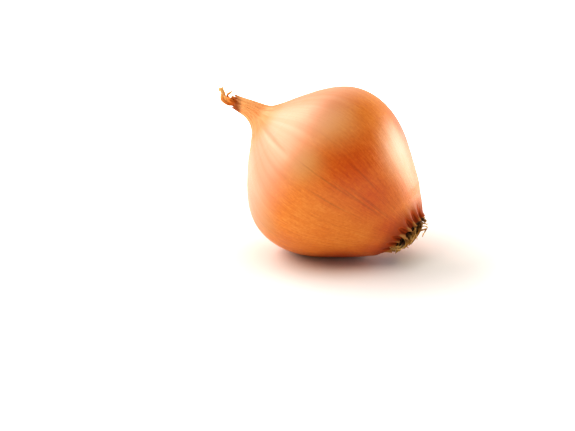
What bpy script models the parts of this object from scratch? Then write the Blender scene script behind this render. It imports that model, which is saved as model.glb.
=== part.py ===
"""A whole brown onion as picked and cured, lying on its side on a small flat spot.

The onion is modelled upright, with its axis on Z, its root end at height 0 and its neck on top. An empty
then lays it down, so that the neck points along -X and up, and the flat spot's centre is the origin.
Run it with: blender --background --python part.py
"""

import math
import random

import bmesh
import bpy
from mathutils import Vector

MM = 0.001
TURN = 2 * math.pi

# How the onion lies
NECK_RISE = math.radians(32.0)  # the axis climbs this much from root to neck
FLAT_DEPTH = 0.6 * MM  # what the surface that it lies on has pressed flat

# The bulb's outer skin: height along the axis and radius, from the root end to the mouth of the neck
ROOT_RIM = (0.0, 11.2)
MOUTH_RIM = (96.5, 3.2)
SKIN_MM = [
    ROOT_RIM,
    (1.4, 12.3),
    (3.6, 15.1),
    (9.0, 20.6),
    (20.0, 29.2),
    (29.0, 35.3),
    (38.0, 39.0),
    (47.0, 40.2),
    (55.5, 38.7),
    (63.0, 34.2),
    (70.0, 26.8),
    (75.5, 19.2),
    (80.0, 12.0),
    (84.0, 6.9),
    (89.0, 4.5),
    MOUTH_RIM,
]

# How finely things are divided
RINGS_PER_SPAN = 2
SIDES = 72
PLATE_SIDES = 24
BUNDLE_SIDES = 18
STRAND_SIDES = 6
LEAF_STEPS_PER_SPAN = 3
WELD = 0.01 * MM

# The shallow cup that the root plate sits in, and the socket that the dried leaves come out of
CUP_RADIUS = 9.4 * MM
CUP_FLOOR = 3.2 * MM
SOCKET_RADIUS = 2.3 * MM
SOCKET_FLOOR = 92.5 * MM
GAP = 0.3 * MM  # between a piece and the one that it sits in

# Relief of the skin
PLEATS = 18  # round the root plate, where the skin shrinks and splits
PLEAT_DEPTH = 1.1 * MM
PLEAT_FADE = 10.0 * MM
TOOTH_REACH = 1.4 * MM  # how far the torn tips of the pleats stand past the rim
TOOTH_FADE = 3.0 * MM
FOLDS = (9, 5)  # fine and broad ones along the neck
FOLD_SHARE = 0.13  # of the radius
FOLD_SPAN = (66.0 * MM, 88.5 * MM)  # from where they begin to where they are deepest
FOLD_WIND = 9.0  # radians round the neck for each metre along it
LOBE_DEPTH = 0.45 * MM

# What keeps the onion from being straight: its root end isn't square to the axis, and its neck is bowed
ROOT_SLANT = math.radians(8.0)
ROOT_SLANT_FADE = 7.0 * MM
NECK_BOW = 1.9 * MM
NECK_BOW_SPAN = (75.0 * MM, 101.0 * MM)

# The root plate, the mat of flattened dry roots on it, and the few that stand free
PLATE_RADIUS = CUP_RADIUS - GAP
PLATE_DOME = 1.6 * MM
ROOTS = 46
ROOT_RISE = (1.0 * MM, 4.4 * MM)
ROOT_LENGTH = (5.0 * MM, 12.0 * MM)
ROOT_HALF_WIDTH = (0.6 * MM, 1.25 * MM)
WHISKERS = 9
WHISKER_LENGTH = (7.0 * MM, 10.0 * MM)
WHISKER_HALF_WIDTH = 0.4 * MM
WHISKER_DRIFT = 3.0 * MM
ROOT_FLATNESS = 0.55
ROOT_TAPER = 0.3
ROOT_STEPS = 4
ROOT_SUNK = 2.2 * MM
ROOT_SPREAD = 0.5  # how far a root leans out for each unit that it rises
MAT_RADIUS = 12.2 * MM  # as far from the axis as a root of the mat reaches
MAT_LIE = (math.pi, 0.8)  # the way that most of the mat lies, and how much it strays
SEED = 11

# The dried leaf ends: points across and along the axis, half widths, all in millimetres
LEAF_FLATNESS = 0.42
OUTER_LEAF = [
    (-0.3, 0.3, 97.2, 1.3),
    (-1.0, 0.5, 98.8, 1.8),
    (-2.4, 0.5, 101.0, 1.9),
    (-3.1, 0.1, 102.9, 1.6),
    (-2.2, -0.2, 104.3, 1.2),
    (-0.5, -0.1, 105.3, 1.0),
    (0.3, 0.2, 106.7, 1.1),
    (0.5, 0.5, 107.9, 0.7),
]
INNER_LEAF = [
    (0.4, -0.4, 97.2, 1.1),
    (0.4, -0.8, 99.0, 1.5),
    (-0.4, -1.1, 101.4, 1.3),
    (-0.9, -0.8, 103.4, 0.8),
    (-0.5, -0.4, 105.0, 0.5),
]
LEAF_SPIKE = [
    (0.2, 0.4, 97.6, 0.8),
    (0.2, 0.8, 100.6, 0.8),
    (1.1, 0.7, 102.0, 0.6),
    (2.8, 0.5, 102.9, 0.25),
]
BACK_LEAF = [
    (-0.1, 0.5, 97.6, 0.9),
    (0.3, 2.0, 100.0, 1.1),
    (1.1, 2.6, 102.2, 0.7),
    (1.3, 3.2, 103.8, 0.3),
]


def smoothstep(start, end, value):
    """0 at start and before it, 1 at end and beyond it, with a soft passage between them."""
    share = min(1.0, max(0.0, (value - start) / (end - start)))
    return share * share * (3 - 2 * share)


def smooth_curve(points, per_span):
    """Points on a curve that passes through the given ones, per_span of them to each stretch."""
    ends = [2 * points[0] - points[1], *points, 2 * points[-1] - points[-2]]
    found = []
    for before, start, end, after in zip(ends, ends[1:], ends[2:], ends[3:]):
        for step in range(per_span):
            t = step / per_span
            found.append(
                0.5
                * (
                    2 * start
                    + (end - before) * t
                    + (2 * before - 5 * start + 4 * end - after) * t**2
                    + (3 * start - before - 3 * end + after) * t**3
                )
            )
    return [*found, points[-1]]


def clear_scene():
    for obj in list(bpy.data.objects):
        bpy.data.objects.remove(obj)


def new_collection(name):
    collection = bpy.data.collections.new(name)
    bpy.context.scene.collection.children.link(collection)
    return collection


def new_object(name, data, collection):
    obj = bpy.data.objects.new(name, data)
    collection.objects.link(obj)
    return obj


def new_material(name, colour, roughness):
    material = bpy.data.materials.new(name)
    material.use_nodes = True
    shader = material.node_tree.nodes["Principled BSDF"]
    shader.inputs["Base Color"].default_value = (*colour, 1)
    shader.inputs["Roughness"].default_value = roughness
    shader.inputs["Metallic"].default_value = 0
    material.diffuse_color = (*colour, 1)
    return material


def frozen(obj):
    """The object with its modifiers or its curve made into a plain mesh, under the same name."""
    graph = bpy.context.evaluated_depsgraph_get()
    mesh = bpy.data.meshes.new_from_object(obj.evaluated_get(graph))
    name, place, collection = obj.name, obj.matrix_world.copy(), obj.users_collection[0]
    bpy.data.objects.remove(obj)
    solid = new_object(name, mesh, collection)
    solid.matrix_world = place
    return solid


def welded(obj):
    """The same object, with the points that lie together joined."""
    bm = bmesh.new()
    bm.from_mesh(obj.data)
    bmesh.ops.remove_doubles(bm, verts=bm.verts, dist=WELD)
    bm.to_mesh(obj.data)
    bm.free()
    return obj


def turned(name, outline, sides, collection):
    """A solid turned about Z from its outline of (radius, height), top first, from axis to axis."""
    profile = bpy.data.meshes.new(name)
    corners = [(radius, 0, height) for radius, height in outline]
    profile.from_pydata(corners, [(i, i + 1) for i in range(len(corners) - 1)], [])
    obj = new_object(name, profile, collection)
    screw = obj.modifiers.new("turn", "SCREW")
    screw.steps = screw.render_steps = sides
    screw.use_merge_vertices = True
    screw.merge_threshold = WELD
    return welded(frozen(obj))


def pleat(angle):
    """1 on the sharp crest of a pleat and -1 in its round groove."""
    return 1 - 2 * abs(math.sin(0.5 * PLEATS * angle))


def fold(angle, height):
    """1 to -1 over the softer folds of the neck, which wind a little as they climb."""
    wound = angle + FOLD_WIND * (height - FOLD_SPAN[0]) + 0.12 * math.sin(2 * angle + 1.1)
    fine, broad = FOLDS
    return 0.65 * math.cos(fine * wound) + 0.35 * math.cos(broad * wound + 1.9)


def lobe(angle, height):
    """1 to -1 over the swellings of the belly, which fade to the onion's ends."""
    belly = math.sin(math.pi * height / (MOUTH_RIM[0] * MM))
    return belly * (0.6 * math.cos(3 * angle + 0.5) + 0.4 * math.cos(5 * angle + 2.2))


def relief(angle, height, radius):
    """How far the skin stands out from its turned form. The cup and the socket stay round."""
    pleated = (1 - smoothstep(0, PLEAT_FADE, height)) ** 2
    pleated *= smoothstep(CUP_RADIUS - GAP, ROOT_RIM[1] * MM, radius)
    folded = smoothstep(*FOLD_SPAN, height)
    folded *= smoothstep(SOCKET_RADIUS, MOUTH_RIM[1] * MM, radius)
    return (
        PLEAT_DEPTH * pleated * pleat(angle)
        + FOLD_SHARE * radius * folded * fold(angle, height)
        + LOBE_DEPTH * lobe(angle, height)
    )


def tooth(angle, height, radius):
    """How far the skin's torn edge reaches past the rim at the root."""
    edge = 1 - smoothstep(0, TOOTH_FADE, height)
    edge *= smoothstep(CUP_RADIUS, ROOT_RIM[1] * MM, radius)
    torn = 0.6 + 0.4 * math.sin(4 * angle + 1.0) * math.cos(7 * angle)
    return TOOTH_REACH * edge * torn * (0.5 + 0.5 * pleat(angle))


def uneven(angle):
    """Spreads and crowds what is evenly spaced round the onion, so that no two pleats are as wide."""
    return angle + 0.06 * math.sin(3 * angle + 0.7) + 0.04 * math.sin(5 * angle)


def shape_skin(mesh):
    for vert in mesh.vertices:
        x, y, height = vert.co
        radius, angle = math.hypot(x, y), math.atan2(y, x)
        if radius > GAP:
            radius += relief(angle, height, radius)
        reach = tooth(angle, height, radius)
        around = uneven(angle)
        vert.co = (radius * math.cos(around), radius * math.sin(around), height - reach)


def slant_root_end(mesh):
    for vert in mesh.vertices:
        share = 1 - smoothstep(0, ROOT_SLANT_FADE, vert.co.z)
        vert.co.z -= math.tan(ROOT_SLANT) * vert.co.x * share


def bow_neck(mesh):
    low, high = NECK_BOW_SPAN
    for vert in mesh.vertices:
        share = min(1, max(0, (vert.co.z - low) / (high - low)))
        vert.co.x += NECK_BOW * math.sin(math.pi * share) ** 2


def make_bulb(parts):
    """The bulb and its neck: one grown body under a tight papery skin."""
    skin = [Vector((radius, height)) * MM for height, radius in reversed(SKIN_MM)]
    mouth, rim = skin[0], skin[-1]
    socket = [
        (0, SOCKET_FLOOR),
        (SOCKET_RADIUS - GAP, SOCKET_FLOOR),
        (SOCKET_RADIUS, SOCKET_FLOOR + 1 * MM),
        (SOCKET_RADIUS + 0.1 * MM, mouth.y - 0.4 * MM),
        (SOCKET_RADIUS + 0.5 * MM, mouth.y + 0.1 * MM),
    ]
    cup = [
        (rim.x - 0.8 * MM, -GAP),
        (CUP_RADIUS + 0.2 * MM, 0.6 * MM),
        (CUP_RADIUS, CUP_FLOOR - 0.5 * MM),
        (CUP_RADIUS - 0.5 * MM, CUP_FLOOR),
        (0, CUP_FLOOR),
    ]
    outline = [*socket, *smooth_curve(skin, RINGS_PER_SPAN), *cup]
    bulb = turned("bulb", outline, SIDES, parts)
    shape_skin(bulb.data)
    slant_root_end(bulb.data)
    bow_neck(bulb.data)
    return bulb


def oval(name, flatness, cutters):
    """A flattened outline, 1 mm from its middle to its ends, that a strand has for its cross-section."""
    curve = bpy.data.curves.new(name, "CURVE")
    curve.dimensions = "2D"
    curve.fill_mode = "NONE"
    spline = curve.splines.new("POLY")
    spline.points.add(STRAND_SIDES - 1)
    for index, point in enumerate(spline.points):
        angle = -TURN * index / STRAND_SIDES
        point.co = (MM * math.cos(angle), MM * flatness * math.sin(angle), 0, 1)
    spline.use_cyclic_u = True
    obj = new_object(name, curve, cutters)
    obj.hide_render = True
    obj.display_type = "WIRE"
    return obj


def strand(name, path, section, tilt, collection):
    """A strand of this cross-section through its path's points, each with the strand's half width there."""
    curve = bpy.data.curves.new(name, "CURVE")
    curve.dimensions = "3D"
    curve.bevel_mode = "OBJECT"
    curve.bevel_object = section
    curve.use_fill_caps = True
    spline = curve.splines.new("POLY")
    spline.points.add(len(path) - 1)
    for point, (place, half_width) in zip(spline.points, path):
        point.co = (*place, 1)
        point.radius = half_width / MM
        point.tilt = tilt
    return welded(frozen(new_object(name, curve, collection)))


def joined(body, collection):
    """The body united with everything in the collection, which is then removed."""
    union = body.modifiers.new("join", "BOOLEAN")
    union.operation = "UNION"
    union.operand_type = "COLLECTION"
    union.collection = collection
    solid = frozen(body)
    for obj in list(collection.objects):
        bpy.data.objects.remove(obj)
    bpy.data.collections.remove(collection)
    return solid


def root_start(angle, share):
    """Where a root starts inside the plate: share is that of the plate's face within its circle."""
    reach = (PLATE_RADIUS - ROOT_HALF_WIDTH[1]) * math.sqrt(share)
    return Vector((reach * math.cos(angle), reach * math.sin(angle), ROOT_SUNK - PLATE_DOME))


def outwards(angle):
    return Vector((ROOT_SPREAD * math.cos(angle), ROOT_SPREAD * math.sin(angle), -1)).normalized()


def mat_root(rng, angle, share):
    """A root that leaves the plate and then lies flat over its neighbours, most to the low side."""
    start = root_start(angle, share)
    bend = start + outwards(angle) * (ROOT_SUNK + rng.uniform(*ROOT_RISE))
    lie = rng.gauss(*MAT_LIE)
    flat = Vector((math.cos(lie), math.sin(lie), rng.uniform(-0.3, 0.1))).normalized()
    length = rng.uniform(*ROOT_LENGTH)
    while length > 1 * MM and (bend + flat * length).xy.length > MAT_RADIUS:
        length *= 0.85
    end = bend + flat * length
    half_width = rng.uniform(*ROOT_HALF_WIDTH)
    path = []
    for step in range(ROOT_STEPS + 1):
        t = step / ROOT_STEPS
        place = start * (1 - t) ** 2 + bend * 2 * t * (1 - t) + end * t**2
        path.append((place, half_width * (1 - ROOT_TAPER * t)))
    return path


def whisker(rng, angle):
    """A thin root that stands free of the mat."""
    start = root_start(angle, rng.uniform(0.5, 1))
    along = outwards(angle) * rng.uniform(*WHISKER_LENGTH)
    across = Vector((-math.sin(angle), math.cos(angle), 0)) * rng.uniform(-1, 1) * WHISKER_DRIFT
    path = []
    for step in range(ROOT_STEPS + 1):
        t = step / ROOT_STEPS
        path.append((start + along * t + across * t**2, WHISKER_HALF_WIDTH * (1 - ROOT_TAPER * t)))
    return path


def make_roots(parts, cutters):
    """The root plate, a domed disc of dry stem, and the dried roots that grow from it."""
    quarter = [math.radians(angle) for angle in range(90, -1, -15)]
    dome = [(PLATE_RADIUS * math.sin(a), -PLATE_DOME * math.cos(a)) for a in quarter]
    top = CUP_FLOOR - GAP
    plate = turned("roots", [(0, top), (PLATE_RADIUS, top), *dome], PLATE_SIDES, parts)
    rng = random.Random(SEED)
    golden = math.pi * (3 - math.sqrt(5))
    paths = [mat_root(rng, index * golden, (index + 0.5) / ROOTS) for index in range(ROOTS)]
    paths += [whisker(rng, TURN * index / WHISKERS) for index in range(WHISKERS)]
    section = oval("root_section", ROOT_FLATNESS, cutters)
    strands = new_collection("root_strands")
    for index, path in enumerate(paths):
        strand(f"root_{index}", path, section, rng.uniform(0, math.pi), strands)
    roots = joined(plate, strands)
    slant_root_end(roots.data)
    return roots


def leaf_path(points):
    rows = smooth_curve([Vector(point) * MM for point in points], LEAF_STEPS_PER_SPAN)
    return [(Vector(row[:3]), row[3]) for row in rows]


def make_dried_leaves(parts, cutters):
    """The withered leaf ends, one bundle held in the neck's mouth."""
    foot = SOCKET_FLOOR + GAP
    waist = SOCKET_RADIUS - GAP
    outline = [
        (0, 101.0 * MM),
        (1.0 * MM, 100.6 * MM),
        (1.6 * MM, 99.2 * MM),
        (1.9 * MM, 98.0 * MM),
        (waist, MOUTH_RIM[0] * MM),
        (waist - 0.1 * MM, foot + 1 * MM),
        (waist - 0.5 * MM, foot),
        (0, foot),
    ]
    bundle = turned("dried_leaves", outline, BUNDLE_SIDES, parts)
    bow_neck(bundle.data)
    section = oval("leaf_section", LEAF_FLATNESS, cutters)
    strands = new_collection("leaf_strands")
    leaves = [(OUTER_LEAF, 1.3), (INNER_LEAF, 0.4), (LEAF_SPIKE, 0.0), (BACK_LEAF, 0.9)]
    for index, (points, tilt) in enumerate(leaves):
        strand(f"leaf_{index}", leaf_path(points), section, tilt, strands)
    return joined(bundle, strands)


def lay_down(bulb, axis):
    """Turns the axis to its lie, at the height where the floor presses the flat spot."""
    axis.rotation_euler.y = NECK_RISE - math.pi / 2
    bpy.context.view_layer.update()
    axis.location.z = -min((axis.matrix_world @ vert.co).z for vert in bulb.data.vertices) - FLAT_DEPTH


def press_flat(bulb, cutters):
    """Cuts the bulb off at the surface that it lies on."""
    size = 60 * MM
    mesh = bpy.data.meshes.new("floor_cutter")
    bm = bmesh.new()
    bmesh.ops.create_cube(bm, size=size)
    bm.to_mesh(mesh)
    bm.free()
    cutter = new_object("floor_cutter", mesh, cutters)
    cutter.location.z = -size / 2
    cutter.hide_render = True
    cutter.display_type = "WIRE"
    press = bulb.modifiers.new("press_flat", "BOOLEAN")
    press.operation = "DIFFERENCE"
    press.object = cutter


def centre_on_flat(bulb, axis):
    """Moves the onion so that the middle of its flat spot is the origin."""
    bpy.context.view_layer.update()
    pressed = bulb.evaluated_get(bpy.context.evaluated_depsgraph_get())
    points = [pressed.matrix_world @ vert.co for vert in pressed.data.vertices]
    flat = [point for point in points if point.z < WELD]
    for side in (0, 1):
        middle = (min(p[side] for p in flat) + max(p[side] for p in flat)) / 2
        axis.location[side] -= middle


def main():
    clear_scene()
    parts = new_collection("onion")
    cutters = new_collection("cutters")
    axis = new_object("onion_axis", None, parts)
    bulb = make_bulb(parts)
    roots = make_roots(parts, cutters)
    leaves = make_dried_leaves(parts, cutters)
    lay_down(bulb, axis)
    for piece in (bulb, roots, leaves):
        piece.parent = axis
    press_flat(bulb, cutters)
    centre_on_flat(bulb, axis)
    bulb.data.materials.append(new_material("papery_skin", (0.62, 0.2, 0.04), 0.35))
    roots.data.materials.append(new_material("dried_root", (0.33, 0.19, 0.07), 0.8))
    leaves.data.materials.append(new_material("dried_leaf", (0.5, 0.22, 0.07), 0.7))
    for piece in (bulb, roots, leaves):
        piece.data.shade_smooth()
        piece.data.set_sharp_from_angle(angle=math.radians(50))


main()
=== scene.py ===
"""A whole brown onion, cured and lying on its side: its looks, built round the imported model."""

import math
import random

import bpy
from mathutils import Matrix, Vector, noise


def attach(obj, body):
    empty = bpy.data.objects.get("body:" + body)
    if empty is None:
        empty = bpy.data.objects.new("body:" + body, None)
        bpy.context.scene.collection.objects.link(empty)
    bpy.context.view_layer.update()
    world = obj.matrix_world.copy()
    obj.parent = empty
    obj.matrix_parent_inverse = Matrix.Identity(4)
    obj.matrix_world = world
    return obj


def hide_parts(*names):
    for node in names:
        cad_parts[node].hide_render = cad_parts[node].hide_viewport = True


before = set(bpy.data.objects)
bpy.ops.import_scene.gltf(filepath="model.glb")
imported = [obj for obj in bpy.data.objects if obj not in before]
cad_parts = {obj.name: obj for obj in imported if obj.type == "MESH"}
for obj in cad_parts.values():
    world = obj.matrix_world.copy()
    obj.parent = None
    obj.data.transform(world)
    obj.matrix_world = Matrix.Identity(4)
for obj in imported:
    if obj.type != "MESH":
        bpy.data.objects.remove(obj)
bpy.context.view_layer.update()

MM = 0.001
TURN = 2 * math.pi

# How the onion lies: its own axis is Z while it is modelled, with the root end at height 0
NECK_RISE = math.radians(32.0)
ROOT_END = Vector((40.263, 0.182, 13.936)) * MM
LAY = Matrix.Translation(ROOT_END) @ Matrix.Rotation(NECK_RISE - math.pi / 2, 4, "Y")

# The bulb's outer skin, from the root end to the mouth of the neck: heights along the axis and
# radii, in millimetres
ROOT_RIM = (0.0, 11.2)
MOUTH_RIM = (96.5, 3.2)
SKIN_MM = [
    ROOT_RIM,
    (1.4, 12.3),
    (3.6, 15.1),
    (9.0, 20.6),
    (20.0, 29.2),
    (29.0, 35.3),
    (38.0, 39.0),
    (47.0, 40.2),
    (55.5, 38.7),
    (63.0, 34.2),
    (70.0, 26.8),
    (75.5, 19.2),
    (80.0, 12.0),
    (84.0, 6.9),
    (89.0, 4.5),
    MOUTH_RIM,
]
SIDES = 324
WELD = 0.001 * MM

# The cup that the root plate sits in, the socket that holds the leaf ends, and the gap round both
CUP_RADIUS = 9.4 * MM
CUP_FLOOR = 3.2 * MM
SOCKET_RADIUS = 2.3 * MM
SOCKET_FLOOR = 92.5 * MM
GAP = 0.3 * MM

# Gathers of the skin round the root collar. The groove between each two runs up the belly, one
# further than another, with a thin rib in its middle, and is darkened with painted shade, less on
# the rib. The collar's edge is torn, and pale there.
PLEATS = 18
PLEAT_DEPTH = 1.15 * MM
PLEAT_FADE = 7.5 * MM
GROOVE_REACH = (3.9 * MM, 1.8 * MM)
GROOVE_DEPTH = 0.5 * MM
RIB_WIDTH = 0.2
RIB_HEIGHT = 0.6
RIB_LESS_SHADE = 0.4
TOOTH_REACH = 2.6 * MM
TOOTH_FADE = 3.0 * MM
TORN_PALE = (0.25 * MM, 0.9 * MM)

# The collar is drawn in over the roots on its upper side, and filled out on its low side: the
# angle in the middle, then height, reach along the axis and depth
DRAWN_IN_ANGLE, DRAWN_IN_SPREAD = 0.4, 0.7
DRAWN_IN = (1.5 * MM, 3.4 * MM, 1.5 * MM)
FILLED_OUT_ANGLE = -2.6
FILLED_OUT = (3.0 * MM, 2.7 * MM, 1.4 * MM)

# Soft folds and fine crinkles of the neck: how many go round it, how deep they are for its radius,
# and how far they wind round it as they climb, in radians per metre
FOLDS = (9, 5)
FOLD_SHARE = 0.05
FOLD_SPAN = (74.0 * MM, 91.0 * MM)
FOLD_WIND = 9.0
CRINKLES = 23
CRINKLE_WIND = 260
CRINKLE_SHARE = 0.035

# Swellings of the belly, faint ripples of the skin (how many round it, how long and how high), and
# the crease over the shoulder, which deepens and fades between these heights
LOBE_DEPTH = 0.45 * MM
RIPPLES = ((46, 60 * MM, 0.05 * MM), (110, 40 * MM, 0.07 * MM))
RIPPLE_FULL_RADIUS = 36 * MM
CREASE_ANGLE = math.radians(-73.5)
CREASE_SPAN = (56 * MM, 64 * MM, 74 * MM, 79 * MM)
CREASE_WIDTH = 1.3 * MM
CREASE_DEPTH = 0.6 * MM

# The root end is cut off aslant, and the neck bows to its upper side
ROOT_SLANT = math.radians(8.0)
ROOT_SLANT_FADE = 7.0 * MM
NECK_BOW = 1.9 * MM
NECK_BOW_SPAN = (75.0 * MM, 101.0 * MM)

# The skin's torn end at the neck: where it starts, how far it reaches on average and how much
# more or less, the flap above it, and where it is dried brown
NECK_TORN_FROM = 94 * MM
NECK_TORN_RADII = (2.2 * MM, 2.7 * MM)
NECK_TORN = (0.4 * MM, 1.2 * MM, 0.8 * MM)
NECK_TORN_CLOSING = 0.12
NECK_FLAP = 3.0 * MM
NECK_FLAP_ANGLE = 0.35
BROWN_FROM = 95.7 * MM
BROWN_UNDERSIDE = 4.0 * MM
BROWN_RAGGED = 0.7 * MM
BROWN_FADE = (-1.4 * MM, 1.8 * MM)

# The skin's pattern is laid out on a tube of this radius, so that it is as fine at both ends
PATTERN_RADIUS = 40 * MM

# Where the skin's colour changes over the belly: degrees round it, height and reach in millimetres.
# The deeper patches are partly the skin's own deeper copper and partly painted shade, over the
# belly between the highlights and low by the collar.
DEEP_AND_SHADED_PATCHES = [
    (-55, 32, 28),
    (-60, 20, 21),
    (-75, 5, 15),
    (-125, 3, 16),
    (-150, 16, 18),
    (25, 30, 20),
    (100, 40, 22),
    (175, 34, 20),
]
OLIVE_PATCHES = [
    (-40, 56, 22),
    (-70, 52, 15),
    (-14, 24, 16),
    (60, 58, 20),
    (150, 52, 18),
    (-125, 56, 16),
]

# The shoulder is paler all round, and paler still on one side, where a painted highlight stands for
# the key light's shine: that side, how pale the shoulder is all round and how much more on that
# side, and the heights where this begins and is full
HIGHLIT_SIDE = math.radians(-70)
PALE_AND_HIGHLIGHT_SHARE = (0.4, 0.5)
PALE_AND_HIGHLIGHT_SPAN = (44 * MM, 63 * MM)

# Heights between which the neck takes on its own colour and the collar darkens with painted shade,
# and how much of them, and those between which the neck grows paler
NECK_COLOUR = (73 * MM, 81 * MM, 0.9)
COLLAR_SHADE = (7.5 * MM, 1.5 * MM, 0.95)
NECK_PALING = (80 * MM, 94 * MM)

# The root plate, and the roots that leave it and then lie over each other as a mat
SEED = 11
PLATE_RADIUS = CUP_RADIUS - GAP
PLATE_DOME = 1.6 * MM
PLATE_KNOB = 1.1 * MM
PLATE_KNOB_DEPTH = 0.5 * MM
ROOTS = 46
GOLDEN_ANGLE = math.pi * (3 - math.sqrt(5))
ROOT_RISE = (1.0 * MM, 4.4 * MM)
ROOT_LENGTH = (5.0 * MM, 12.0 * MM)
ROOT_HALF_WIDTH = (0.6 * MM, 1.25 * MM)
ROOT_TAPER = 0.3
ROOT_SUNK = 2.2 * MM
ROOT_SPREAD = 0.5
MAT_RADIUS = 12.2 * MM
MAT_LIE = (math.pi, 0.5)
MAT_TILT = (-0.3, 0.1)

# Each root of the mat is split into fibres. Theirs are these shares of its width, and they stray
# from it by these at their start, bend and end.
FIBRES_PER_ROOT = 4
FIBRE_SHARE = (0.5, 0.85)
FIBRE_STRAY = (0.3, 0.4, 0.45)
FIBRE_SIDES = 6
FIBRE_STEPS = 8

# How thick each kind of root is for its width, and how far it waves
MAT_SHAPE = (0.45, 0.25 * MM)
WHISKER_SHAPE = (0.7, 0.5 * MM)
HOOK_SHAPE = (0.5, 0.2 * MM)
STIFF_SHAPE = (0.6, 0.1 * MM)

# What the skin's rim and the table leave of the mat: its edge and where that is narrower, its
# depth over the plate and out at the low side, and where it is thinnest
MAT_EDGE = 12.7 * MM
MAT_EDGE_BELOW = 1.2 * MM
MAT_EDGE_ABOVE = 2.2 * MM
MAT_EDGE_FLANK = 1.0 * MM
MAT_FLANK_ANGLE = -2.1
MAT_DEPTH = (6.6 * MM, 3.3 * MM)
MAT_DEPTH_SPAN = (-9 * MM, -3 * MM)
MAT_THIN_ANGLE = 0.9
MAT_THIN_SHARE = 0.65

# Thin roots that stand free
WHISKERS = 7
WHISKER_LENGTH = (7.0 * MM, 10.0 * MM)
WHISKER_HALF_WIDTH = 0.27 * MM
WHISKER_DRIFT = 3.0 * MM

# Roots that curl back over the torn edge: how far out and down their bends and ends lie
HOOKS = 11
HOOK_SPACING = 0.42
HOOK_BEND_OUT = (9.5 * MM, 11 * MM)
HOOK_BEND_DOWN = (2.2 * MM, 3.4 * MM)
HOOK_END_OUT = (10.8 * MM, 12 * MM)
HOOK_END_DOWN = (0.2 * MM, 1.4 * MM)
HOOK_DRIFT = 2.5 * MM
HOOK_HALF_WIDTH = (0.35 * MM, 0.6 * MM)

# Roots with a place of their own: start, bend, end and half width, in millimetres. The clump is
# pressed into the mat, and the prongs stand free.
CLUMP = [
    ((-3.0, -8.0, -2.0), (-6.5, -10.5, -3.6), (-6.6, -10.6, 1.0), 0.9),
    ((-4.5, -7.5, -2.0), (-8.5, -9.5, -2.6), (-7.6, -10.0, 0.8), 0.8),
    ((-5.0, -7.0, -2.5), (-9.0, -8.5, -2.6), (-8.8, -8.9, 0.2), 0.8),
    ((-1.5, -8.5, -2.0), (-4.5, -11.0, -3.4), (-5.6, -10.8, -0.4), 0.8),
    ((-2.5, -8.0, -2.6), (-5.5, -9.5, -4.2), (-7.4, -9.2, -1.4), 0.9),
    ((-1.0, -7.5, -2.6), (-4.5, -9.0, -4.6), (-6.4, -9.0, -2.2), 0.9),
]
PRONGS = [
    ((6.0, -2.0, -2.4), (9.2, -2.0, -3.8), (8.0, -2.0, -5.2), 0.45),
    ((3.4, -2.0, -3.2), (5.6, -2.0, -4.0), (7.5, -2.0, -5.2), 0.6),
    ((7.7, -2.0, -5.2), (5.6, -2.2, -5.4), (3.2, -2.0, -6.4), 0.42),
    ((8.6, -2.0, -1.9), (9.4, -2.0, -3.0), (9.2, -2.0, -4.2), 0.2),
]

# Dried leaf ends: how thick they are, how finely they are modelled across and along, and how
# ragged their ends are; then points across and along the axis and half widths, in millimetres
LEAF_WALL = 0.3 * MM
LEAF_COLUMNS = 12
LEAF_STEP = 0.35 * MM
LEAF_RAGGED_END = 1.4 * MM
OUTER_LEAF = [
    (-0.3, 0.3, 96.0, 1.6),
    (-0.7, 0.5, 98.8, 1.9),
    (-1.5, 0.5, 100.6, 1.9),
    (-1.9, 0.1, 102.2, 1.8),
    (-1.2, -0.2, 103.6, 1.5),
    (0.2, -0.1, 104.7, 1.0),
    (0.8, 0.2, 106.1, 1.0),
    (0.9, 0.5, 107.2, 1.3),
]
INNER_LEAF = [
    (0.4, -0.4, 96.0, 1.1),
    (0.4, -0.8, 99.0, 1.5),
    (-0.2, -0.9, 101.4, 1.3),
    (-0.6, -0.6, 103.2, 0.9),
    (0.0, -0.3, 104.6, 0.5),
]
LEAF_SPIKE = [
    (-0.4, 0.5, 99.0, 1.0),
    (-0.3, 0.5, 101.6, 1.0),
    (0.4, 0.5, 102.5, 0.95),
    (1.6, 0.5, 102.2, 0.85),
    (3.0, 0.5, 101.7, 0.6),
]
BACK_LEAF = [
    (-0.1, 0.5, 96.5, 0.9),
    (0.2, 1.6, 98.8, 1.0),
    (0.5, 2.1, 100.0, 0.7),
    (0.6, 2.3, 101.0, 0.35),
]

# For each strip: its points, the way it faces and how far it curls in radians, how deep it is
# crumpled, and a number that makes its crumples its own. The outer and the inner leaf have two
# strips each, turned from one another.
LEAVES = [
    ("outer_leaf", OUTER_LEAF, 0.46, 0.95, 0.35 * MM, 1.3),
    ("outer_leaf_back", OUTER_LEAF, 2.2, 1.6, 0.35 * MM, 5.1),
    ("inner_leaf", INNER_LEAF, 0.9, 1.5, 0.4 * MM, 2.6),
    ("inner_leaf_back", INNER_LEAF, 2.8, 1.2, 0.4 * MM, 9.4),
    ("leaf_spike", LEAF_SPIKE, 0.46, 2.6, 0.05 * MM, 3.7),
    ("back_leaf", BACK_LEAF, 0.2, 1.5, 0.3 * MM, 4.4),
]

# The leaf bases squeezed together in the neck's mouth: radii and heights in millimetres, and the
# ribs on what shows of them
BUNDLE_MM = [
    (1.9, 93.8),
    (2.0, 95.0),
    (2.05, 96.5),
    (1.95, 97.5),
    (1.8, 98.5),
    (1.5, 99.5),
    (1.0, 100.5),
    (0, 101.0),
]
BUNDLE_RIBS = 7
BUNDLE_RIB = 0.18 * MM
BUNDLE_RIBS_FROM = 96 * MM
BUNDLE_WIND = 300

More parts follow.
